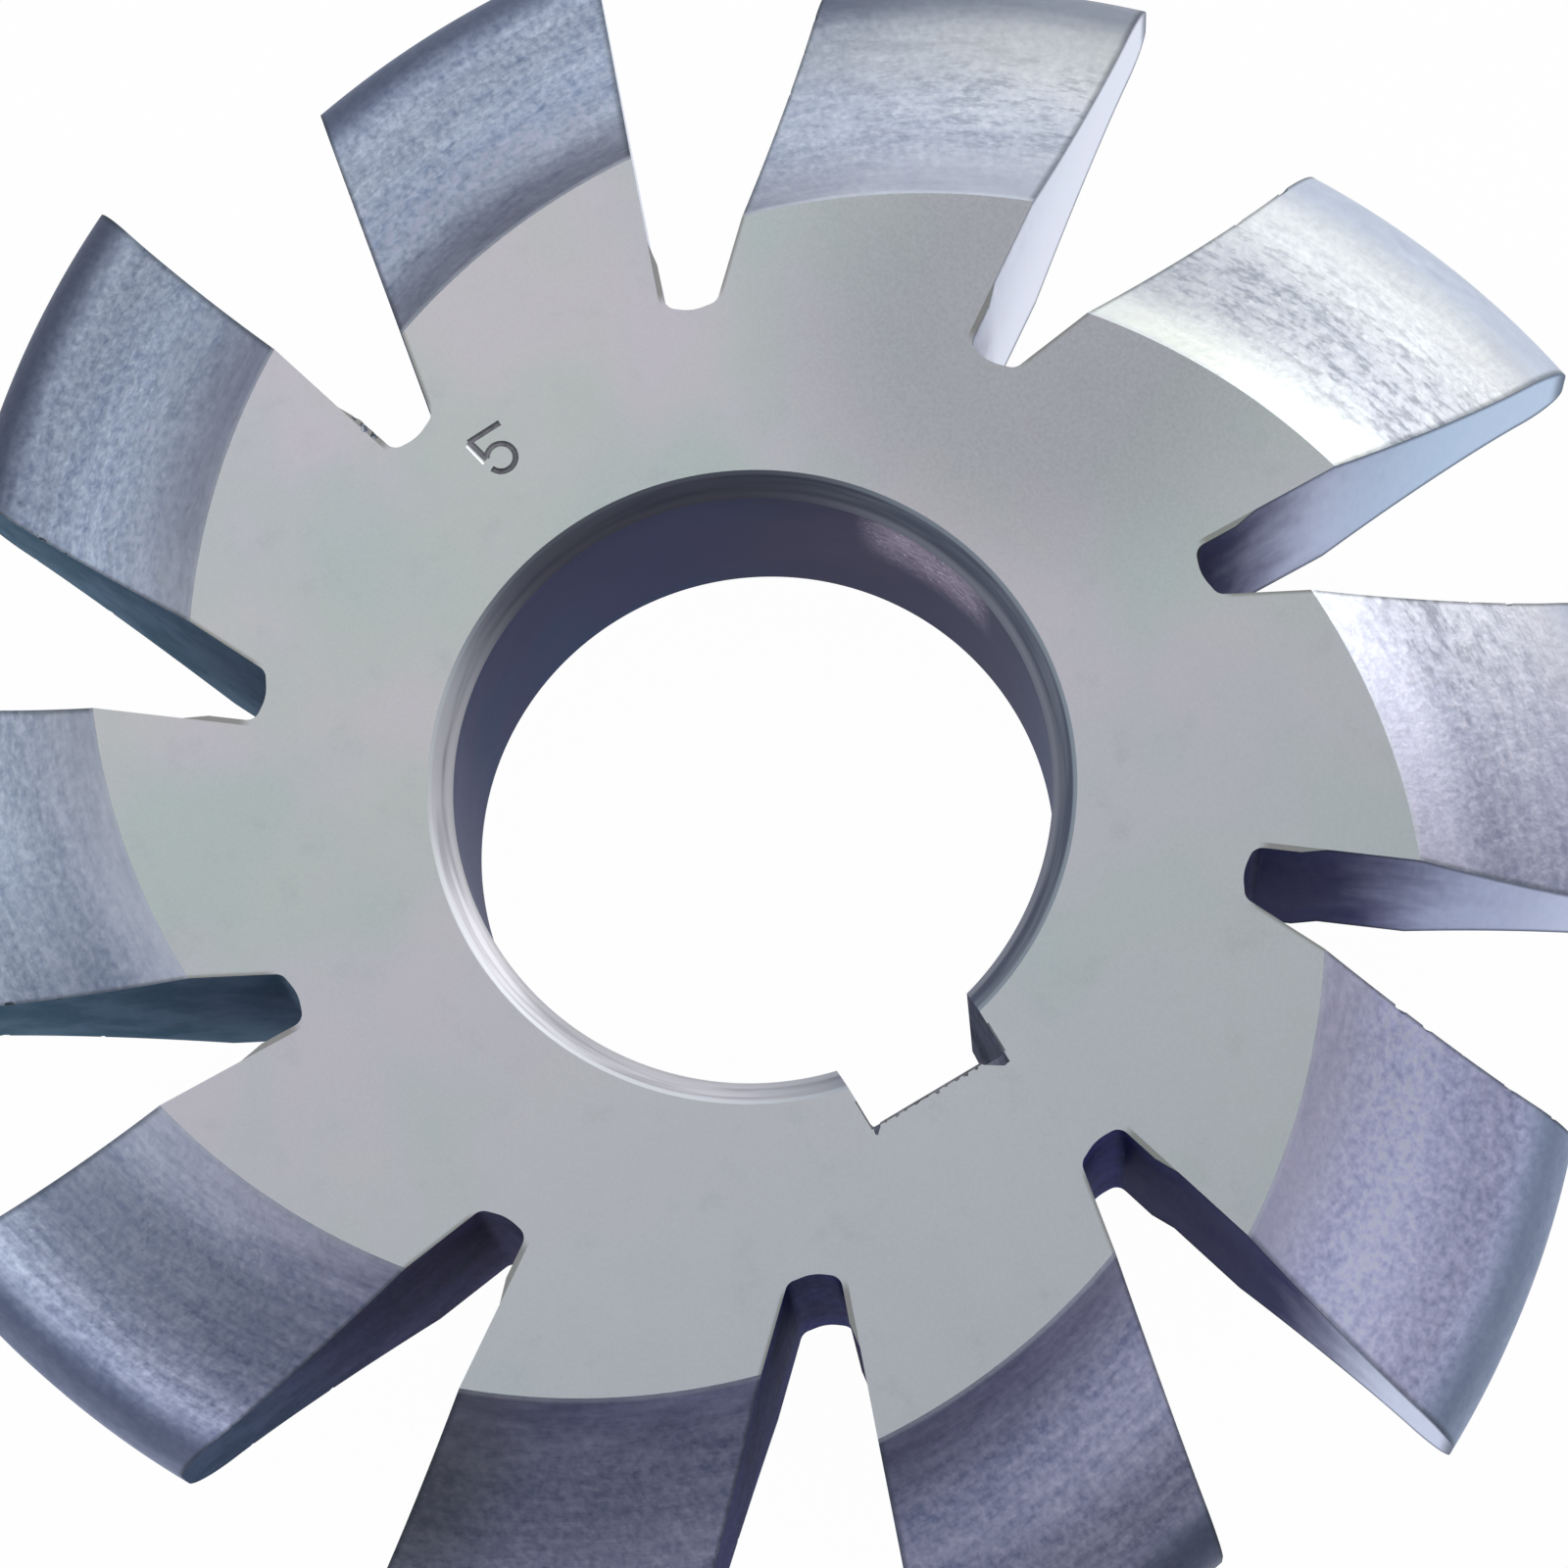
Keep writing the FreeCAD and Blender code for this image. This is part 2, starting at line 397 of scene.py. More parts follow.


# %% [markdown]
# ### Places on the cutter
# Wear, tint, painted light and painted shade depend on where a spot is on the cutter: how far from the
# axis, on which tooth, and how far behind its cutting face. All of that comes from the object's own
# coordinates by plain sums.

# %% Places
def places(start):
    """Object coordinates in millimetres, as a vector and as its three parts."""
    where = start.node("ShaderNodeTexCoord", out="Object")
    where = start.node("ShaderNodeVectorMath", {"operation": "SCALE"}, {0: where, "Scale": 1 / MM})
    parts = [start.node("ShaderNodeSeparateXYZ", inputs={0: where}, out=axis) for axis in range(3)]
    return where, parts


def around_axis(parts):
    """Distance from the axis in millimetres, and angle round it."""
    x, y = parts[0], parts[1]
    return (x * x + y * y).maths("SQRT"), y.maths("ARCTAN2", x)


def behind_face(angle):
    """Turn behind the last cutting face, and the number of its tooth from the first face on."""
    turns = (angle - FIRST_FACE + 4 * math.pi) / PITCH
    return turns.maths("FRACT") * PITCH, turns.maths("FLOOR").maths("FLOORED_MODULO", TEETH)


def heel_line(radius, behind):
    """1 on the edge of a tooth's heel and 0 a little way from it, from the heel wall's own line."""
    along = radius * (behind - PITCH).maths("COSINE")
    across = radius * (behind - PITCH).maths("SINE")
    wall = (HEEL_FOOT - along) * math.tan(HEEL_ANGLE) - GULLET_FAR
    line = 1 - ((wall - across) * math.cos(HEEL_ANGLE)).ramp_up(0.02, 0.26)
    return line * radius.ramp_up(FLOOR_CORNER + 0.1, FLOOR_CORNER + 0.9)


def facing_share(angle, towards, low, high):
    """How far a place turns toward one side of the cutter, from 0 to 1.

    The side is an angle in degrees. The share grows between two cosines of the angle from it.
    """
    return (angle - math.radians(towards)).maths("COSINE").ramp_up(low, high)


def own_value(number, values):
    """A grey that is half the value of each tooth, from a list that starts at the first face."""
    greys = [(i / TEETH, value / 2) for i, value in enumerate(values)]
    return number.node("ShaderNodeValToRGB", {"interpolation": "CONSTANT", "greys": greys},
                       {0: (number + 0.5) / TEETH})


def of_colour(base, operation, other):
    """A Vector Math node of a colour and another one."""
    return base.node("ShaderNodeVectorMath", {"operation": operation}, {0: base, 1: other})


print("one pitch is", round(math.degrees(PITCH), 1), "degrees")

# %% [markdown]
# ### Side faces
# A surface grinder leaves them flat and satin, an even grey with faint clouds of green and pink and
# a few smudges. The clouds are two slow noises that lean the grey one way or the other. A very fine
# noise in the roughness keeps the sheen from looking like plastic. A darker line runs along the edge
# of each heel.

# %% Side face finish
STAIN_PLACE = (-14.0, 26.0, HALF_WIDTH)
STAIN_REACH = 18.0
HEEL_LINE_DARKENING = 0.6

side_finish, shader, start = finish_of("ground_side", 1.0, 0.5, 0.5)
where, parts = places(start)
clouds = noise(where, 0.075, 2.0, seed=3.0).ramp_up(0.38, 0.62)
warmth = noise(where, 0.06, 2.0, seed=11.0).ramp_up(0.42, 0.60)
cool = parts[0].ramp_up(-12.0, 26.0)
smudge = noise(where, 0.35, 5.0, 0.65, seed=21.0).ramp_up(0.54, 0.76)
away = start.node("ShaderNodeVectorMath", {"operation": "DISTANCE"}, {0: where, 1: STAIN_PLACE}, 1)
stain = 1 - away.ramp_up(STAIN_REACH * 0.35, STAIN_REACH)
base = clouds.mix(colour(173, 182, 179), colour(190, 182, 190))
base = (warmth * 0.4).mix(base, colour(188, 187, 181))
base = (cool * 0.6).mix(base, colour(179, 187, 191))
base = (smudge * 0.35).mix(base, colour(156, 162, 162))
base = (stain * 0.8).mix(base, colour(152, 153, 158))
grit = noise(where, 5.0, 3.0, 0.6, seed=7.0)
glints = ((grit - 0.5) * 0.8 + 0.15).maths("MAXIMUM", 0.0)
base = glints.mix(base, colour(208, 211, 213))
radius, angle = around_axis(parts)
behind, _ = behind_face(angle)
# A darker line along the edge of each heel.
base = (heel_line(radius, behind) * HEEL_LINE_DARKENING).mix(base, colour(104, 102, 90))
feed(shader, Base_Color=base, Roughness=grit * 0.16 + 0.42,
     Normal=bumped(noise(where, 14.0, 2.0, seed=5.0), 0.000004))
print("made", side_finish.name)

# %% [markdown]
# ### Relieved flanks
# The form tool leaves a fine grain on the flanks, crossed by faint feed lines that run the way the
# tooth runs. Both have to follow the relief, not plain circles. The sum of the distance from the axis
# and the drop so far is the same along one line of the tool, and is called the lane here. Noise that is
# read at the lane, and stretched along the turn, draws the lines. Each tooth has its own share of them.

# %% Flank noises
flank_finish, shader, start = finish_of("relieved_flank", 1.0, 0.45, 0.5)
where, parts = places(start)
radius, angle = around_axis(parts)
behind, number = behind_face(angle)
lane = radius + behind * RELIEF_OFFSET
depth = (lane - FLANK_START_RADIUS) / (TIP_RADIUS - FLANK_START_RADIUS)
along = start.node("ShaderNodeCombineXYZ", inputs={0: lane, 1: behind * 5.0, 2: number * 7.3})
feed_lines = noise(along, 1.6, 4.0, 0.7, seed=2.0)
bands = noise(along, 0.20, 2.0, 0.5, seed=9.0)
own_lines = start.node("ShaderNodeTexWhiteNoise", {"noise_dimensions": "1D"}, {"W": number + 20.5})
grain = noise(where, 2.2, 1.8, 0.6, seed=4.0)
scuffs = start.node("ShaderNodeCombineXYZ", inputs={0: lane, 1: behind * 14.0, 2: number * 7.3})
specks = noise(scuffs, 2.6, 3.0, 0.65, seed=14.0)
print("flank noises ready")

# %% Flank tone
# The side of the cutter that faces the bright lamps: its flanks are painted paler there, with less
# grain, as a painted highlight.
PAINTED_LIT_SIDE = (102.0, 0.62, 0.97)
painted_lit_side = facing_share(angle, *PAINTED_LIT_SIDE)
rough_part = depth.ramp_up(0.0, 0.30) * 0.8 + 0.2
tone = (grain - 0.5) * rough_part * (1.2 - painted_lit_side * 0.5) + (bands - 0.5) + 0.5
tone = tone + (feed_lines - 0.5) * (own_lines * 1.2 + 0.3) * (1 - painted_lit_side * 0.3)
tone = tone.maths("MAXIMUM", 0.0).maths("MINIMUM", 1.0)
print("flank tone ready")

# %% [markdown]
# The colour changes with the depth of the form, from the foot beside the side face over the middle to
# the outer part and the rim. Much of it is painted light: each part is painted paler on the side of the
# cutter that faces the bright lamps and darker on others, and the rounded rim is painted darker as
# shade. These painted shares, and a faint lilac tint, fade in by the angle round the axis.

# %% Flank colours
SHADED_FOOT_SIDE = (332.0, 0.64, 0.95)
SECOND_SHADED_FOOT_SIDE = (180.0, 0.74, 0.98)
LIT_FOOT_SIDE = (98.0, 0.90, 0.99)
LILAC_SIDE = (355.0, -0.2, 0.8)
WORN_BAND_SIDE = (278.0, 0.80, 0.98)
PALE_RIM_SIDE = (24.0, 0.90, 0.99)
VIOLET = (1.02, 0.93, 1.04)


def over_depth(foot, middle, outer):
    """Goes from the first to the second to the third with the depth of the form."""
    return depth.ramp_up(0.42, 0.78).mix(depth.ramp_up(0.04, 0.34).mix(foot, middle), outer)


# Painted shade darkens the feet on two sides of the cutter, and a painted highlight makes the feet on
# the lamp side pale.
shaded_foot = facing_share(angle, *SHADED_FOOT_SIDE) + facing_share(angle, *SECOND_SHADED_FOOT_SIDE) * 0.7
foot = shaded_foot.mix(tone.mix(colour(166, 174, 196), colour(236, 240, 248)),
                     tone.mix(colour(96, 100, 132), colour(176, 184, 208)))
foot = facing_share(angle, *LIT_FOOT_SIDE).mix(
    foot, tone.mix(colour(206, 212, 208), colour(244, 246, 240)))
middle = painted_lit_side.mix(tone.mix(colour(150, 164, 192), colour(230, 238, 250)),
                   tone.mix(colour(178, 186, 202), colour(250, 252, 255)))
outer = painted_lit_side.mix(tone.mix(colour(116, 127, 153), colour(202, 210, 225)),
                  tone.mix(colour(206, 208, 212), colour(250, 252, 252)))
base = over_depth(foot, middle, outer)
base = facing_share(angle, *LILAC_SIDE).mix(base, of_colour(base, "MULTIPLY", VIOLET))
mid_band = depth.ramp_up(0.12, 0.34) * (1 - depth.ramp_up(0.52, 0.80))
worn_band = mid_band * facing_share(angle, *WORN_BAND_SIDE)
base = (worn_band * 0.5).mix(base, colour(84, 92, 114))
pits = specks.ramp_up(0.46, 0.66) * mid_band
base = (pits * (painted_lit_side * 0.36 + 0.06)).mix(base, colour(112, 122, 142))
# The rounded rim near the tip is painted darker as shade, less so on the lamp side and on one other
# side.
rim = depth.ramp_up(0.76, 0.93)
painted_rim_shade = painted_lit_side.mix(colour(116, 125, 150), colour(190, 198, 213))
painted_rim_shade = facing_share(angle, *PALE_RIM_SIDE).mix(painted_rim_shade, colour(134, 147, 168))
base = (rim * 0.85).mix(base, painted_rim_shade)
print("flank colours ready")

# %% [markdown]
# Some teeth are brighter than others, at the foot, in the middle or at the tip, and that brightness is
# painted, as a painted reflection of how each tooth faces the lamps and the room. Three short lists
# hold a factor for each tooth. The ramps hold half of each value, because a ramp goes up to 1, and the
# doubled colour is kept below a white that no steel passes.

# %% Painted brightness of each tooth
FOOT_PAINTED_BRIGHTNESS = [1.10, 1.05, 1.20, 0.85, 0.76, 0.97, 1.04, 1.22, 1.05, 0.76]
MIDDLE_PAINTED_BRIGHTNESS = [1.28, 0.78, 0.80, 1.02, 1.30, 1.17, 1.00, 1.30, 0.77, 0.94]
TIP_PAINTED_BRIGHTNESS = [1.36, 1.20, 1.12, 0.73, 0.96, 0.76, 0.80, 1.34, 1.15, 0.76]
PALEST = (0.76, 0.79, 0.97, 1.0)
PALEST_ON_BRIGHT_SIDE = (0.98, 0.98, 0.98, 1.0)
STAINED_EDGE_SIDE = (308.0, 0.97, 0.999)

# The painted brightness of each tooth, at its foot, middle and tip.
wear = over_depth(*(own_value(number, shares) for shares in (FOOT_PAINTED_BRIGHTNESS, MIDDLE_PAINTED_BRIGHTNESS, TIP_PAINTED_BRIGHTNESS)))
base = of_colour(base, "MULTIPLY", wear)
base = base.node("ShaderNodeVectorMath", {"operation": "SCALE"}, {0: base, "Scale": 2.0})
base = of_colour(base, "MINIMUM", painted_lit_side.mix(PALEST, PALEST_ON_BRIGHT_SIDE))
behind_mm = radius * behind
stained = (1 - behind_mm.ramp_up(0.5, 7.0)) * facing_share(angle, *STAINED_EDGE_SIDE)
base = (stained * 0.5).mix(base, colour(108, 108, 106))
# A dark line of painted shade along the cutting edge.
painted_edge_shade = 1 - behind_mm.ramp_up(0.02, 0.40)
base = (painted_edge_shade * 0.6).mix(base, colour(80, 90, 98))
# A darker line along the edge of each heel.
base = (heel_line(radius, behind) * HEEL_LINE_DARKENING).mix(base, colour(74, 80, 80))
# A painted highlight: a pale line along the flank's edge beside each side face.
painted_side_edge_light = parts[2].maths("ABSOLUTE").ramp_up(HALF_WIDTH - 0.22, HALF_WIDTH - 0.08)
base = (painted_side_edge_light * 0.4).mix(base, colour(226, 232, 240))
height = grain * 0.8 + specks * 0.3 + feed_lines * 0.5
feed(shader, Base_Color=base, Roughness=specks * 0.30 + rim * 0.25 + 0.32,
     Normal=bumped(height, 0.00003))
print("made", flank_finish.name)

# %% [markdown]
# ### Cutting faces
# A cutting face is ground smooth and mirrors the room, with a breath of lilac. Its reflection is also
# painted into its colour: dark painted shade toward the gullet, where the face would mirror the dark
# heel wall before it, reaching farther out on some sides of the cutter than on others, and a pale
# painted reflection outward, brightest on the side that faces the lamps and blue on one other. The
# edge has a dark line of painted shade. A face is as wide as the form, so a colour ramp that holds the
# form's half width by radius gives the gap between a place and the cutting edge.

# %% Cutting face finish
PAINTED_LIT_FACE_SIDE = (150.0, 0.30, 0.95)
BLUE_REFLECTION_SIDE = (88.0, 0.970, 0.999)
EDGE_FADE = (0.04, 0.90)

face_finish, shader, start = finish_of("cutting_face", 1.0, 0.34, 0.0, (0.84, 0.87, 0.96, 1.0))
where, parts = places(start)
radius, angle = around_axis(parts)
cloud = noise(where, 0.22, 3.0, 0.6, seed=6.0)
lines = noise(where, 3.0, 3.0, 0.6, (1.0, 1.0, 0.15), seed=8.0)
# How far out the painted shade reaches from the gullet, by side.
dark_reach = 35.0 - (angle - math.radians(140.0)).maths("COSINE") * 8.0
for towards, low, high, more in ((16.0, 0.90, 0.99, 2.0), (88.0, 0.94, 1.0, 1.0),
                                 (124.0, 0.90, 0.99, -2.0)):
    dark_reach = dark_reach + facing_share(angle, towards, low, high) * more
# ground is the share of the pale painted reflection; the rest of the face is painted shade.
ground = (radius + (cloud - 0.5) * 4.0 - dark_reach).maths("MULTIPLY", 0.2).ramp_up(-0.8, 1.0)
# bare holds the pale painted reflection, paler outward.
bare = radius.ramp_up(38.0, 49.0).mix(
    (cloud * 0.8).mix(colour(134, 140, 176), colour(158, 172, 204)), colour(206, 214, 236))
# A painted highlight on the side of the cutter that faces the lamps.
bare = facing_share(angle, *PAINTED_LIT_FACE_SIDE).mix(
    bare, (cloud * 0.8).mix(colour(246, 242, 252), colour(230, 246, 252)))
# A painted blue reflection on the outer part of the faces on one side.
painted_blue_reflection = facing_share(angle, *BLUE_REFLECTION_SIDE) * radius.ramp_up(33.0, 43.0)
bare = (painted_blue_reflection * 0.7).mix(bare, colour(172, 202, 226))
base = ground.mix((cloud * 0.6).mix(colour(58, 60, 128), colour(110, 106, 146)), bare)

form_start = FORM[1][0]
form_length = TIP_RADIUS - form_start
widths = [((r - form_start) / form_length, z / HALF_WIDTH) for r, z in FORM[1::2]]
width_here = start.node("ShaderNodeValToRGB", {"greys": widths},
                        {0: (radius - form_start) / form_length})
edge_gap = width_here * HALF_WIDTH - parts[2].maths("ABSOLUTE")
edge_gap = edge_gap.maths("MINIMUM", TIP_RADIUS - radius)
# A dark line of painted shade along the cutting edge, where the face is also less metallic.
painted_edge_shade = 1 - edge_gap.ramp_up(*EDGE_FADE)
base = (painted_edge_shade * 0.7).mix(base, colour(88, 98, 122))
mirror = (ground * 0.88 + 0.12) * (1 - painted_edge_shade * 0.6)
feed(shader, Base_Color=base, Metallic=mirror, Roughness=lines * 0.16 + 0.26,
     Normal=bumped(lines, 0.000004))
print("made", face_finish.name)

# %% [markdown]
# ### Gullets
# The gullets were milled and then hardened, but never ground, so they keep the colours of the heat.
# On most sides they are navy, on others a deeper blue, a teal, a purple or a sooty grey.

# %% Gullet finish
NAVY_EDGE = (0.20, 0.26, 0.60, 1.0)
TEAL_SIDE = (240.0, 0.45, 0.92)
BLUE_SIDE = (2.0, 0.70, 0.98)
PURPLE_SIDE = (300.0, 0.930, 0.995)
SOOTY_SIDE = (81.0, 0.970, 0.996)

gullet_finish, shader, start = finish_of("milled_gullet", 0.3, 0.6, 0.05, NAVY_EDGE)
where, parts = places(start)
radius, angle = around_axis(parts)
cloud = noise(where, 0.20, 3.0, 0.6, seed=13.0).ramp_up(0.36, 0.64)
lines = noise(where, 3.0, 3.0, 0.6, (1.0, 1.0, 0.3), seed=16.0)
base = cloud.mix(colour(38, 40, 80), colour(64, 66, 106))
blue = facing_share(angle, *BLUE_SIDE)
base = blue.mix(base, cloud.mix(colour(30, 36, 96), colour(54, 64, 132)))
teal = facing_share(angle, *TEAL_SIDE)
base = teal.mix(base, cloud.mix(colour(74, 114, 130), colour(112, 142, 160)))
purple = facing_share(angle, *PURPLE_SIDE) * (1 - radius.ramp_up(32.0, 44.0))
base = (purple * 0.7).mix(base, cloud.mix(colour(58, 50, 86), colour(84, 74, 114)))
sooty = facing_share(angle, *SOOTY_SIDE)
base = (sooty * 0.8).mix(base, colour(52, 60, 52))
feed(shader, Base_Color=base, Roughness=lines * 0.2 + 0.5, Normal=bumped(lines, 0.00001))
print("made", gullet_finish.name)

# %% [markdown]
# ### Bore
# The bore is ground, with lines that run round it, and carries a dark film of oil. Rubbing by an arbor
# has left a pale, specked patch on one side. Painted light makes the wall on one side paler, painted
# shade darkens it just under the upper mouth, and a painted highlight makes a narrow bright strip
# under the upper mouth on another side.

# %% Bore finish
BROWN_SIDE = (118.0, 0.60, 0.97)
PAINTED_LIT_BORE_SIDE = (255.0, 0.80, 1.0)
RUBBED_SIDE = (113.0, 0.955, 0.995)
PAINTED_GLINT_SIDE = (345.0, 0.45, 0.68)

bore_finish, shader, start = finish_of("ground_bore", 0.3, 0.5, 0.05, NAVY_EDGE)
where, parts = places(start)
radius, angle = around_axis(parts)
film = noise(where, 0.09, 2.0, 0.5, seed=31.0).ramp_up(0.40, 0.60)
lines = noise(where, 3.0, 3.0, 0.6, (0.12, 0.12, 1.0), seed=14.0)
base = film.mix(colour(60, 82, 110), colour(74, 76, 106))
base = facing_share(angle, *BROWN_SIDE).mix(base, film.mix(colour(74, 74, 92), colour(88, 82, 100)))
# Painted light: the wall on one side is paler, as if lit.
base = (facing_share(angle, *PAINTED_LIT_BORE_SIDE) * 0.5).mix(base, colour(128, 126, 146))
base = ((lines - 0.45) * 1.2).maths("MAXIMUM", 0.0).mix(base, colour(96, 98, 128))
# Painted shade: the wall gets darker just under the upper mouth.
base = (parts[2].ramp_up(5.8, 8.4) * 0.2).mix(base, colour(36, 36, 58))
# A painted highlight: a narrow bright strip under the upper mouth.
painted_mouth_glint = facing_share(angle, *PAINTED_GLINT_SIDE) * parts[2].ramp_up(5.6, 7.4)
base = (painted_mouth_glint * 0.8).mix(base, colour(236, 236, 242))
rub = facing_share(angle, *RUBBED_SIDE) * parts[2].ramp_up(-0.5, 5.5)
streaks = noise(where, 2.2, 3.0, 0.7, (0.5, 0.5, 1.0), seed=17.0).ramp_up(0.24, 0.62)
base = (rub * (streaks * 0.7 + 0.25)).mix(base, colour(222, 202, 218))
bright_specks = noise(where, 3.2, 1.0, 0.5, seed=23.0).ramp_up(0.60, 0.70)
base = (rub * bright_specks).mix(base, colour(250, 246, 250))
feed(shader, Base_Color=base, Roughness=lines * 0.2 + 0.4, Normal=bumped(lines, 0.000006))
print("made", bore_finish.name)

# %% [markdown]
# ### Mouth of the bore
# The mouth is a turned chamfer with fine rings. Its brightness is painted: one side is painted bright
# as a painted highlight, with painted highlight lines along its outer and inner edges, and another side
# is painted dark as shade. Noise that is read at the radius, and only slowly round the axis, draws
# rings that are not quite even.

# %% Mouth finish
PAINTED_LIGHT_MOUTH_SIDE = (280.0, 0.05, 0.90)
PAINTED_SHADE_MOUTH_SIDE = (170.0, 0.60, 0.98)

mouth_finish, shader, start = finish_of("turned_mouth", 0.3, 0.34, 0.2)
where, parts = places(start)
radius, angle = around_axis(parts)
rings = start.node("ShaderNodeCombineXYZ", inputs={
    0: radius, 1: angle.maths("COSINE") * 0.6, 2: angle.maths("SINE") * 0.6})
rings = noise(rings, 2.6, 2.0, 0.6, seed=12.0)
# The share of the mouth that is painted bright as a painted highlight, which is also a little more
# metallic.
mouth_painted_light = facing_share(angle, *PAINTED_LIGHT_MOUTH_SIDE)
tone = rings.ramp_up(0.38, 0.62)
base = mouth_painted_light.mix(tone.mix(colour(100, 106, 122), colour(130, 136, 148)),
                  tone.mix(colour(186, 184, 192), colour(228, 226, 232)))
# Painted highlight: a bright line along the mouth's outer edge, brightest on the painted bright side.
lip = radius.ramp_up(17.04, 17.12)
base = lip.mix(base, mouth_painted_light.mix(colour(156, 166, 176), colour(236, 238, 242)))
# Painted highlight: a bright line along the mouth's inner edge.
inner_edge = 1 - radius.ramp_up(16.20, 16.44)
base = (inner_edge * 0.8).mix(base, mouth_painted_light.mix(colour(166, 168, 180), colour(250, 248, 252)))
# Painted shade on one side of the mouth.
base = (facing_share(angle, *PAINTED_SHADE_MOUTH_SIDE) * 0.75).mix(base, colour(62, 60, 74))
feed(shader, Base_Color=base, Metallic=mouth_painted_light * 0.25 + 0.1, Roughness=rings * 0.16 + 0.26,
     Normal=bumped(rings, 0.000004))
print("made", mouth_finish.name)

# %% [markdown]
# ### Keyway and number
# The broached keyway is dull, with lines along the axis. The number and the torn edges are darker than
# the ground face. A thin groove beside the stem of the number is painted near white, a painted
# highlight for metal that the punch pushed up. Two tones and two noises are enough for such small
# places, so one helper makes all three.

# %% Small finishes
def small_finish(name, dark, pale, seed, settings, scale, bump, stretch=(1, 1, 1)):
    """Steel in two tones, with lines along one direction where it is stretched."""
    material, shader, start = finish_of(name, *settings)
    where, parts = places(start)
    cloud = noise(where, scale, 3.0, 0.6, seed=seed)
    lines = noise(where, 3.0, 3.0, 0.6, stretch, seed=seed + 3.0)
    tone = (cloud * 0.65 + lines * 0.35).ramp_up(0.36, 0.64)
    feed(shader, Base_Color=tone.mix(dark, pale), Roughness=lines * 0.2 + settings[1] - 0.1,
         Normal=bumped(lines, bump))
    print("made", material.name)
    return material


key_finish = small_finish("broached_key", colour(120, 122, 138), colour(156, 158, 174), 12.0,
                          (0.0, 0.6, 0.0), 0.25, 0.000008, (1.0, 1.0, 0.1))
struck_finish = small_finish("struck_number", colour(108, 108, 112), colour(142, 142, 146), 13.0,
                             (0.3, 0.5, 0.05), 0.9, 0.000004)
# A painted highlight, near white, for the groove beside the number.
burr_highlight_finish = small_finish("painted_burr_highlight", colour(236, 238, 242), colour(252, 252, 252), 10.0,
                          (1.0, 0.35, 0.5), 0.9, 0.000004)

# %% [markdown]
# ## The blank
# A cutter like this begins as a turned disc, so the blank is a lathe job: a few vertices drawn beside
# the axis, and one full spin. The blank is left a little too large outside, because the relief tools
# below take the rim down to its true size. Each mouth of the bore is a chamfer of four narrow
# facets, which roll off toward the bore like a worn edge.

# %% Turned blank
def mesh_object(name, bm, materials):
    """Turns a finished bmesh into an object with its materials, and links it."""
    bmesh.ops.recalc_face_normals(bm, faces=bm.faces)
    mesh = bpy.data.meshes.new(name)
    bm.to_mesh(mesh)
    bm.free()
    for material in materials:
        mesh.materials.append(material)
    made = bpy.data.objects.new(name, mesh)
    bpy.context.scene.collection.objects.link(made)
    return made


def loop_of(bm, points):
    """Vertices at points in millimetres, joined in a closed ring of edges."""
    verts = [bm.verts.new(Vector(p) * MM) for p in points]
    edges = [bm.edges.new(pair) for pair in zip(verts, verts[1:] + verts[:1])]
    return verts, edges


MOUTH = [(17.30, 9.25), (17.08, 9.15), (16.50, 8.74), (16.12, 8.42), (16.00, 8.26)]
NEAR = 0.01
BLANK_STEPS = 360
BLANK_RADIUS = TIP_RADIUS + 0.3
bm = bmesh.new()
ring = MOUTH + [(r, -z) for r, z in reversed(MOUTH)]
ring += [(BLANK_RADIUS, -HALF_WIDTH), (BLANK_RADIUS, HALF_WIDTH)]
verts, edges = loop_of(bm, [(r, 0.0, z) for r, z in ring])
bmesh.ops.spin(bm, geom=verts + edges, cent=(0, 0, 0), axis=(0, 0, 1), angle=2 * math.pi,
               steps=BLANK_STEPS, use_merge=True)
for face in bm.faces:
    centre = face.calc_center_median() / MM
    out = math.hypot(centre.x, centre.y)
    if out < BORE_RADIUS + NEAR and abs(centre.z) < 1.0:
        face.material_index = 1
    elif out < MOUTH_RADIUS and abs(centre.z) < HALF_WIDTH - NEAR:
        face.material_index = 2
cutter = mesh_object("cutter", bm, [side_finish, bore_finish, mouth_finish])
print("blank:", len(cutter.data.polygons), "faces")

# %% [markdown]
# ## Cutting tools
# The rest is taken away, as in the shop. A gullet tool is a flat outline pushed through the full
# width. A relief tool is the outline of everything outside the form, swung about the relief centre of
# its tooth. Both are made once and turned to their places. The Boolean modifier then cuts, and hands
# over the tool's material with each face that it leaves.

# %% Gullet tools
STEP_START, STEP_RUN = 2.5, 1.4
GULLET_ROUND = 0.7
FLOOR_ROUND = 2.4
CORNER_STEPS = 6


def turned(bm, made, angle):
    """Turns new geometry about the cutter's axis."""
    verts = [v for v in made if isinstance(v, bmesh.types.BMVert)]
    bmesh.ops.rotate(bm, verts=verts, cent=(0, 0, 0), matrix=Matrix.Rotation(angle, 3, "Z"))


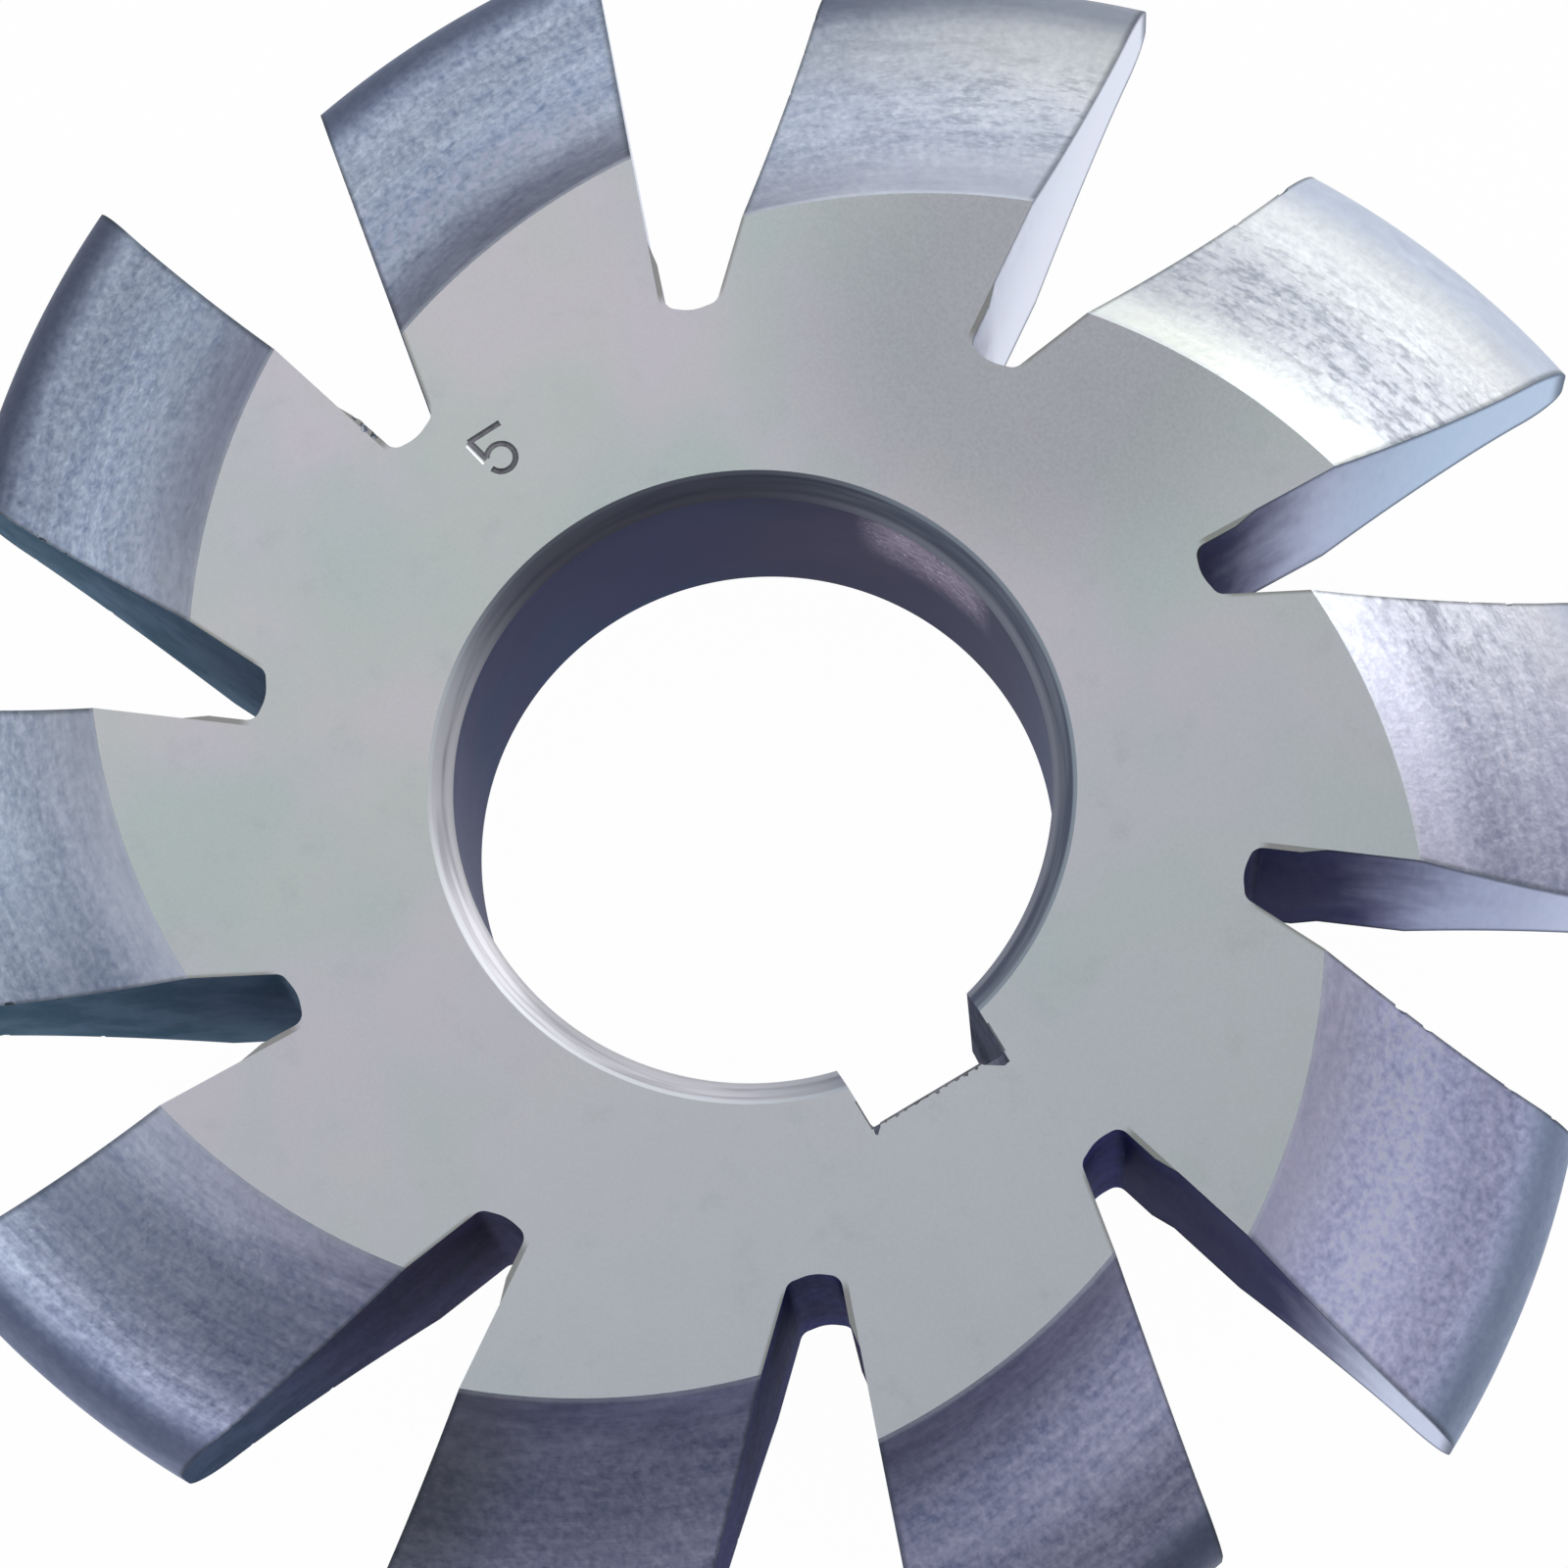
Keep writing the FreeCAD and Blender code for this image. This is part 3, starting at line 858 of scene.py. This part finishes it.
def gullet_outline():
    """The gullet before one cutting face, seen along the axis, from the face round to the heel."""
    near_x = math.sqrt(FLOOR_CORNER ** 2 - GULLET_STEP ** 2)
    outer = TIP_RADIUS + PAST
    step_top = Vector((near_x + STEP_START + STEP_RUN, 0.0))
    step_foot = Vector((near_x + STEP_START, -GULLET_STEP))
    near = Vector((near_x, -GULLET_STEP))
    middle = Vector((FLOOR_CORNER - FLOOR_BULGE, -GULLET_STEP - GULLET_WIDTH / 2))
    heel_foot = Vector((HEEL_FOOT, -GULLET_FAR))
    heel_end = Vector((outer, -GULLET_FAR - (outer - HEEL_FOOT) * math.tan(HEEL_ANGLE)))
    points = [Vector((outer, 0.0)), step_top, step_foot]
    points += rounded_corner(step_foot, near, middle, GULLET_ROUND, CORNER_STEPS)
    points += rounded_corner(near, middle, heel_foot, FLOOR_ROUND, CORNER_STEPS)
    points += rounded_corner(middle, heel_foot, heel_end, GULLET_ROUND, CORNER_STEPS)
    return [tuple(p) for p in points + [heel_end]]


bm = bmesh.new()
outline = gullet_outline()
for tooth in range(TEETH):
    bottom = -(HALF_WIDTH + PAST)
    verts, edges = loop_of(bm, [(x, y, bottom) for x, y in outline])
    face = bm.faces.new(verts)
    grown = bmesh.ops.extrude_face_region(bm, geom=[face], use_keep_orig=True)["geom"]
    top = [v for v in grown if isinstance(v, bmesh.types.BMVert)]
    bmesh.ops.translate(bm, verts=top, vec=(0, 0, 2 * (HALF_WIDTH + PAST) * MM))
    for wall in {f for v in top for f in v.link_faces}:
        spot = wall.calc_center_median() / MM
        wall.material_index = 0 if spot.y > -GULLET_STEP - NEAR else 1
    turned(bm, verts + top, FIRST_FACE + PITCH * tooth)
gullet_tools = mesh_object("gullet_tools", bm, [face_finish, gullet_finish])
print("gullet tools:", len(gullet_tools.data.polygons), "faces")

# %% Relief tools
RELIEF_STEPS = 44
RELIEF_MARGIN = math.radians(2.0)


def relief_tools(name, teeth):
    """The relief tools of some teeth. Neighbours overlap, so every other tooth goes together."""
    upper = [(TIP_RADIUS + RELIEF_OFFSET + PAST, FORM[0][1])] + FORM
    section = upper + [(r, -z) for r, z in reversed(upper)]
    tip = Vector((TIP_RADIUS, RELIEF_OFFSET))
    next_tip = Matrix.Rotation(PITCH, 2) @ Vector((TIP_RADIUS, 0.0)) + Vector((0.0, RELIEF_OFFSET))
    swing = math.atan2(next_tip.y, next_tip.x) - math.atan2(tip.y, tip.x)
    bm = bmesh.new()
    for tooth in teeth:
        verts, edges = loop_of(bm, [(r, 0.0, z) for r, z in section])
        face = bm.faces.new(verts)
        centre = Vector((0.0, -RELIEF_OFFSET, 0.0)) * MM
        before = set(bm.verts) - set(verts)
        bmesh.ops.rotate(bm, verts=verts, cent=centre,
                         matrix=Matrix.Rotation(-RELIEF_MARGIN, 3, "Z"))
        bmesh.ops.spin(bm, geom=verts + edges + [face], cent=centre, axis=(0, 0, 1), angle=swing,
                       steps=RELIEF_STEPS)
        turned(bm, [v for v in bm.verts if v not in before], FIRST_FACE + PITCH * tooth)
    return mesh_object(name, bm, [flank_finish])


tool_sets = [relief_tools("relief_tools_odd", range(0, TEETH, 2)),
             relief_tools("relief_tools_even", range(1, TEETH, 2))]
print("relief tools:", [len(t.data.polygons) for t in tool_sets], "faces")

# %% [markdown]
# ### The keyway
# The key that drives the cutter sits in a straight slot with hardly rounded corners. A box of the
# slot's size, with its two floor edges bevelled, takes it out in one cut.

# %% Keyway tool
KEY_HALF = 4.0
KEY_REACH = 19.2
KEY_ROUND = 0.2
bm = bmesh.new()
bmesh.ops.create_cube(bm, size=1.0)
key_size = Vector((KEY_REACH, 2 * KEY_HALF, 2 * (HALF_WIDTH + PAST)))
bmesh.ops.scale(bm, verts=bm.verts, vec=key_size * MM)
bmesh.ops.translate(bm, verts=bm.verts, vec=(KEY_REACH / 2 * MM, 0, 0))
floor_edges = [e for e in bm.edges if all(v.co.x > KEY_REACH / 2 * MM for v in e.verts)
               and abs(e.verts[0].co.z - e.verts[1].co.z) > MM]
bmesh.ops.bevel(bm, geom=floor_edges, offset=KEY_ROUND * MM, offset_type="OFFSET", segments=5,
                profile=0.5, affect="EDGES", material=-1)
key_tool = mesh_object("key_tool", bm, [key_finish])
print("keyway tool:", len(key_tool.data.polygons), "faces")

# %% [markdown]
# ### The struck number
# A cutter of this kind carries its number in the set, and the number is part of how it is used. It
# was struck with a plain punch, so it is a thin rounded groove. A bent wire laid on the face, and cut
# out of it, leaves just that groove.

# %% Number punch
DIGIT_PLACE = (23.1, math.radians(186.4))
BOWL_CENTRE = Vector((0.17, -0.45))
BOWL_RADIUS = 0.78
BOWL_STEPS = 26
BOWL_FROM, BOWL_TO = 146.0, -166.0
bowl = []
for i in range(BOWL_STEPS + 1):
    turn = math.radians(BOWL_FROM + (BOWL_TO - BOWL_FROM) * i / BOWL_STEPS)
    bowl.append(BOWL_CENTRE + Vector((math.cos(turn), math.sin(turn))) * BOWL_RADIUS)
STROKES = {"bar": [(1.26, 1.17), (-0.74, 1.31)], "stem": [(-0.68, 1.34), (-0.50, -0.06)],
           "bowl": [tuple(p) for p in bowl]}
LIP_PATH = [(-0.92, 1.24), (-0.78, -0.16)]
STROKE_WIRE, STROKE_HEIGHT = 0.175, 0.04
LIP_WIRE, LIP_HEIGHT = 0.11, 0.075
SAME_PLACE = 0.0005


def wire_punch(name, path, wire, height, finish):
    """A bent wire over the side face, drawn with its top away from the bore."""
    curve = bpy.data.curves.new(name, "CURVE")
    curve.dimensions = "3D"
    curve.bevel_depth = wire * MM
    curve.bevel_resolution = 3
    curve.use_fill_caps = True
    out, turn = DIGIT_PLACE
    up = Vector((math.cos(turn), math.sin(turn), 0.0))
    right = Vector((up.y, -up.x, 0.0))
    spline = curve.splines.new("POLY")
    spline.points.add(len(path) - 1)
    for point, (x, y) in zip(spline.points, path):
        spot = up * (out + y) + right * x + Vector((0.0, 0.0, HALF_WIDTH + height))
        point.co = (*(spot * MM), 1.0)
    holder = bpy.data.objects.new(name, curve)
    bpy.context.scene.collection.objects.link(holder)
    shown = holder.evaluated_get(bpy.context.evaluated_depsgraph_get())
    mesh = bpy.data.meshes.new_from_object(shown)
    bpy.data.objects.remove(holder)
    bm = bmesh.new()
    bm.from_mesh(mesh)
    bmesh.ops.remove_doubles(bm, verts=bm.verts, dist=SAME_PLACE * MM)
    return mesh_object(name, bm, [finish])


punches = [wire_punch(name, path, STROKE_WIRE, STROKE_HEIGHT, struck_finish)
           for name, path in STROKES.items()]
# The groove beside the stem carries the painted highlight finish.
punches.append(wire_punch("lip", LIP_PATH, LIP_WIRE, LIP_HEIGHT, burr_highlight_finish))
print("punches:", [(p.name, len(p.data.polygons)) for p in punches])

# %% [markdown]
# ## Wear
# A used cutter is not perfect. The heels of the teeth have small bites from being knocked on the
# bench. Each bite is a rough little lump cut out of the edge. Most come from a seeded draw, and a few
# are listed. They keep apart, because a Boolean tool must not run into itself.

# %% Nick tools
luck = random.Random(26)


def nick_tools(name, spots, finish):
    """Rough lumps, each given by its place, its three half sizes and its turn about the axis."""
    bm = bmesh.new()
    for place, sizes, turn in spots:
        lump = bmesh.ops.create_icosphere(bm, subdivisions=2, radius=MM)["verts"]
        for vert in lump:
            vert.co *= luck.uniform(0.75, 1.15)
        bmesh.ops.scale(bm, verts=lump, vec=sizes)
        bmesh.ops.rotate(bm, verts=lump, cent=(0, 0, 0),
                         matrix=Matrix.Rotation(math.radians(turn), 3, "Z"))
        bmesh.ops.translate(bm, verts=lump, vec=Vector(place) * MM)
    return mesh_object(name, bm, [finish])


def heel_edge(tooth, reach):
    """A point of the upper heel edge before one face, and the turn of that edge in degrees."""
    y = -GULLET_FAR - (reach - HEEL_FOOT) * math.tan(HEEL_ANGLE)
    radius, angle = math.hypot(reach, y), math.atan2(y, reach)
    height = form_height(radius + (PITCH + angle) * RELIEF_OFFSET)
    turn = FIRST_FACE + PITCH * tooth
    place = Matrix.Rotation(turn, 3, "Z") @ Vector((reach, y, height))
    return place, math.degrees(turn - HEEL_ANGLE)


PLACED_ON_HEELS = [(1, 35.4, (0.50, 0.26, 0.40)), (1, 37.0, (0.30, 0.20, 0.30)),
                   (3, 43.4, (0.35, 0.22, 0.30))]
FACE_WITH_BITES = 5
PLACED_ON_FACE = [(28.2, 0.24), (28.9, 0.32), (29.7, 0.18)]
BITE_INSET, BITE_DEPTH = 0.22, 0.2
DRAWN_REACHES = (38.0, 41.5, 44.5)
APART = 1.3

heel_nicks = []
for tooth, reach, sizes in PLACED_ON_HEELS:
    spot, turn = heel_edge(tooth, reach)
    heel_nicks.append((spot, sizes, turn))
face_turn = FIRST_FACE + PITCH * FACE_WITH_BITES
for reach, size in PLACED_ON_FACE:
    spot = Matrix.Rotation(face_turn, 3, "Z") @ Vector((reach, -BITE_INSET, HALF_WIDTH))
    heel_nicks.append((spot, (size, size, BITE_DEPTH), math.degrees(face_turn)))
for tooth in range(TEETH):
    for side in (1, -1):
        for reach in DRAWN_REACHES:
            spot, turn = heel_edge(tooth, reach + luck.uniform(-1.2, 1.2))
            size = luck.uniform(0.07, 0.20)
            spot.z *= side
            if all((spot - other[0]).length > APART for other in heel_nicks):
                heel_nicks.append((spot, (size * luck.uniform(1.2, 2.2), size, size), turn))
heel_tools = nick_tools("heel_nicks", heel_nicks, flank_finish)
print("nicks on the heels:", len(heel_nicks))

# %% [markdown]
# ### The worn keyway
# The edge of the keyway is ragged where the key has rocked in it, and its floor corners are torn. A
# row of small lumps and three thin flat pieces, one along the edge and one at each corner, take that
# away at both ends of the slot.

# %% Keyway wear
KEY_NICKS = 10
KEY_NICK_SPACING = 0.61
KEY_NICK_START = -3.2
key_nicks = []
for i in range(KEY_NICKS):
    y = KEY_NICK_START + KEY_NICK_SPACING * i + luck.uniform(-0.05, 0.05)
    key_nicks.append(((KEY_REACH + 0.06, y, HALF_WIDTH),
                      (luck.uniform(0.10, 0.24), luck.uniform(0.10, 0.20), 0.10), 0.0))
key_nick_tools = nick_tools("key_nicks", key_nicks, struck_finish)


ABOVE = 0.3


def torn_edge(name, outline, depth, finish):
    """A flat piece torn from both ends of the keyway's edge, drawn along the axis."""
    bm = bmesh.new()
    for side in (1, -1):
        verts, edges = loop_of(bm, [(x, y, side * (HALF_WIDTH + ABOVE)) for x, y in outline])
        face = bm.faces.new(verts)
        grown = bmesh.ops.extrude_face_region(bm, geom=[face], use_keep_orig=True)["geom"]
        inner = [v for v in grown if isinstance(v, bmesh.types.BMVert)]
        bmesh.ops.translate(bm, verts=inner, vec=(0, 0, -side * (ABOVE + depth) * MM))
    return mesh_object(name, bm, [finish])


KEY_EDGE = [(17.6, -4.09), (19.33, -4.09), (19.33, 4.09), (17.6, 4.09)]
RIGHT_CORNER = [(18.9, 2.5), (19.4, 2.7), (20.0, 3.62), (19.94, 3.99), (18.9, 3.99)]
LEFT_CORNER = [(18.9, -3.9), (18.9, -3.4), (19.42, -3.62), (19.74, -3.98), (19.62, -4.06)]
edge_tools = [torn_edge("key_edge", KEY_EDGE, 0.08, struck_finish),
              torn_edge("key_right_corner", RIGHT_CORNER, 1.6, key_finish),
              torn_edge("key_left_corner", LEFT_CORNER, 0.35, key_finish)]
print("wear of the keyway:", len(key_nicks), "nicks and", len(edge_tools), "torn pieces")

# %% [markdown]
# ## The cuts
# Each tool is taken out of the blank in turn by an exact Boolean. The order matters in one place: the
# thin flat piece along the keyway goes first, and the nicks then bite into the edge that it leaves.
# The number of edges that don't join two faces is printed after each cut, and has to stay at none.

# %% Cut the blank
def open_edges(mesh):
    """How many edges of a mesh don't join exactly two faces."""
    bm = bmesh.new()
    bm.from_mesh(mesh)
    count = sum(1 for edge in bm.edges if len(edge.link_faces) != 2)
    bm.free()
    return count


def cut(target, tool):
    """Takes a tool out of the target, and hands the tool's materials to the faces it leaves."""
    step = target.modifiers.new(tool.name, "BOOLEAN")
    step.operation = "DIFFERENCE"
    step.solver = "EXACT"
    step.material_mode = "TRANSFER"
    step.object = tool
    bpy.context.view_layer.update()
    shaped = target.evaluated_get(bpy.context.evaluated_depsgraph_get())
    mesh = bpy.data.meshes.new_from_object(shaped)
    target.modifiers.clear()
    target.data = mesh
    print("after", tool.name, "the cutter has", len(mesh.polygons), "faces and",
          open_edges(mesh), "open edges")
    bpy.data.objects.remove(tool)


cutting_order = [gullet_tools] + tool_sets + [key_tool] + edge_tools
cutting_order += [key_nick_tools] + punches + [heel_tools]
for tool in cutting_order:
    cut(cutter, tool)

# %% [markdown]
# ## Shading
# The relieved flanks are curved, so they are shaded smooth, and an edge is sharp where two faces
# meet at more than a small angle.

# %% Shade and hand over
SHARP_ANGLE = math.radians(24.0)
MERGE_REACH = 0.0002
bm = bmesh.new()
bm.from_mesh(cutter.data)
bmesh.ops.remove_doubles(bm, verts=bm.verts, dist=MERGE_REACH * MM)
for face in bm.faces:
    face.smooth = True
bm.to_mesh(cutter.data)
bm.free()
cutter.data.set_sharp_from_angle(angle=SHARP_ANGLE)
cutter.data.name = "cutter"
print("cutter:", len(cutter.data.polygons), "faces and", open_edges(cutter.data), "open edges")

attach(cutter, "root")
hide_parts("milling_cutter")
